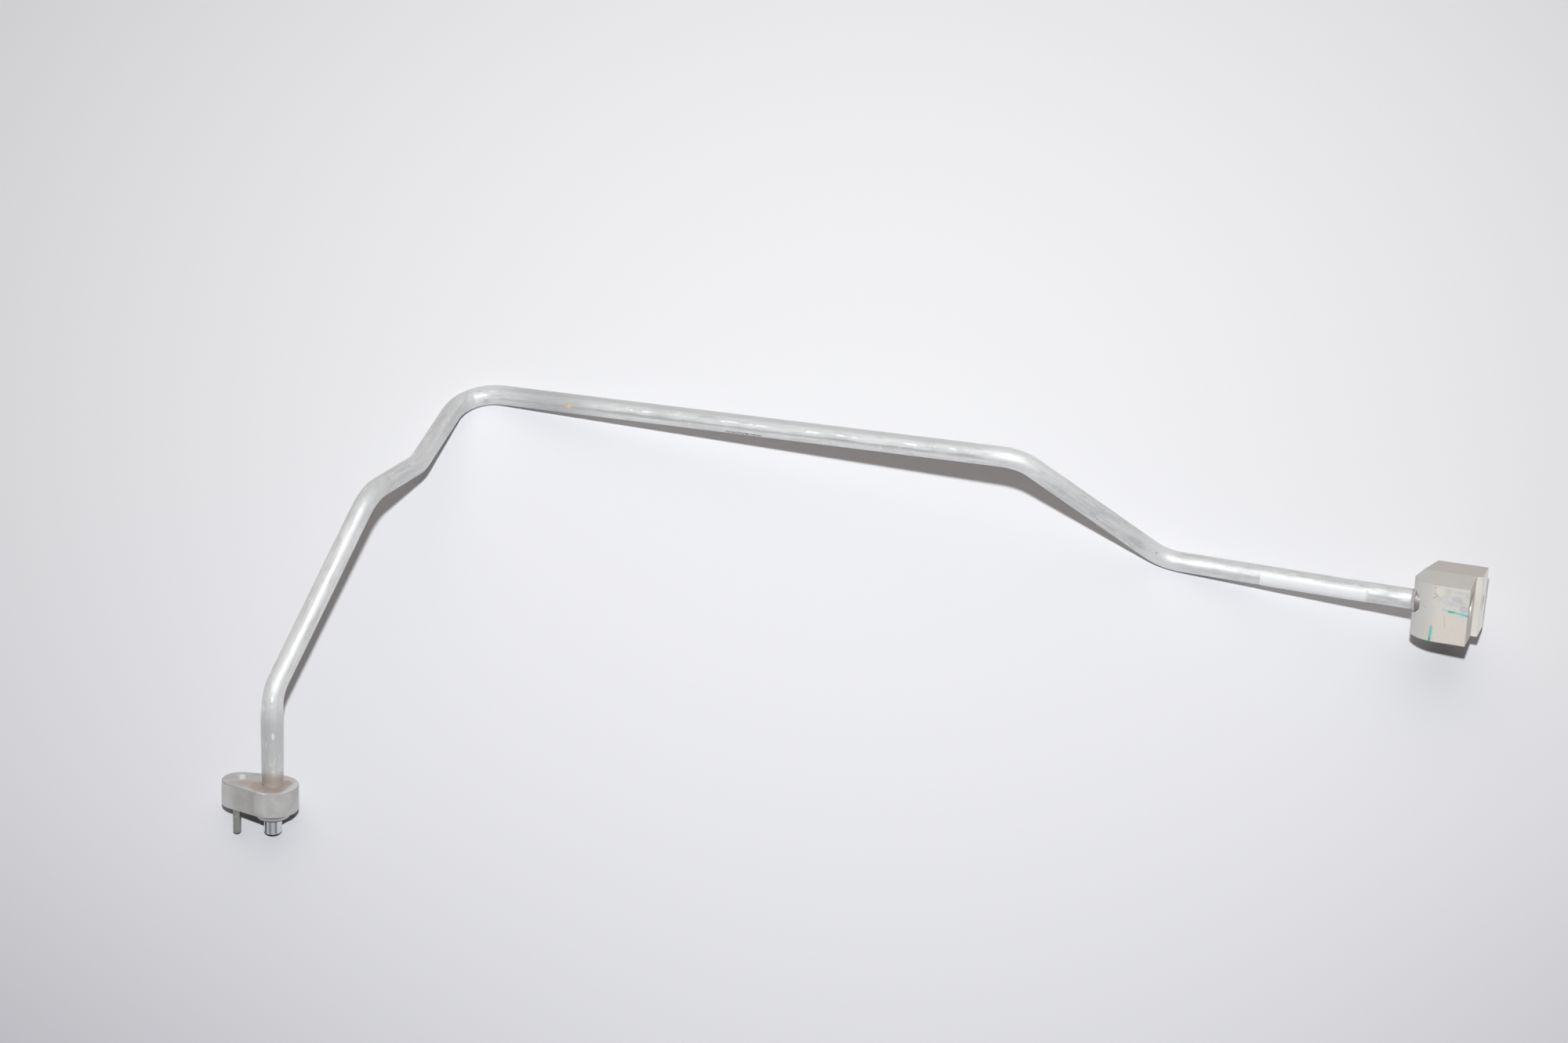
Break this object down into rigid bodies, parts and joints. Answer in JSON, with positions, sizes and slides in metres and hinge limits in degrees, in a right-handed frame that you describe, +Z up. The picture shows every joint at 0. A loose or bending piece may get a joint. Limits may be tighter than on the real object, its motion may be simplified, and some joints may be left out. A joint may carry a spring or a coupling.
{
  "type": "air conditioning pipe",
  "caption": "Bent aluminium refrigerant line with a bolted two-lobe flange, bead and nose at one end and a machined port block with a lip at the other.",
  "frame": {"origin": "middle of the bounding box's base, on the surface that the pipe lies on", "axes": "+X from the flange to the end block, +Y away from the flange, +Z up"},
  "size_m": [0.6114, 0.239, 0.0672],
  "materials": {
    "tube": "satin, drawn",
    "flange": "machined, dulled",
    "pin": "ground, scratched",
    "block": "sawn and milled, stained",
    "braze": "as it set, slightly rough",
    "label": "bare paper"
  },
  "bodies": {
    "root": {"pipe": "tube", "flange": "flange", "locating_pin": "pin", "end_block": "block", "braze_ring": "braze", "label": "label"}
  },
  "joints": []
}
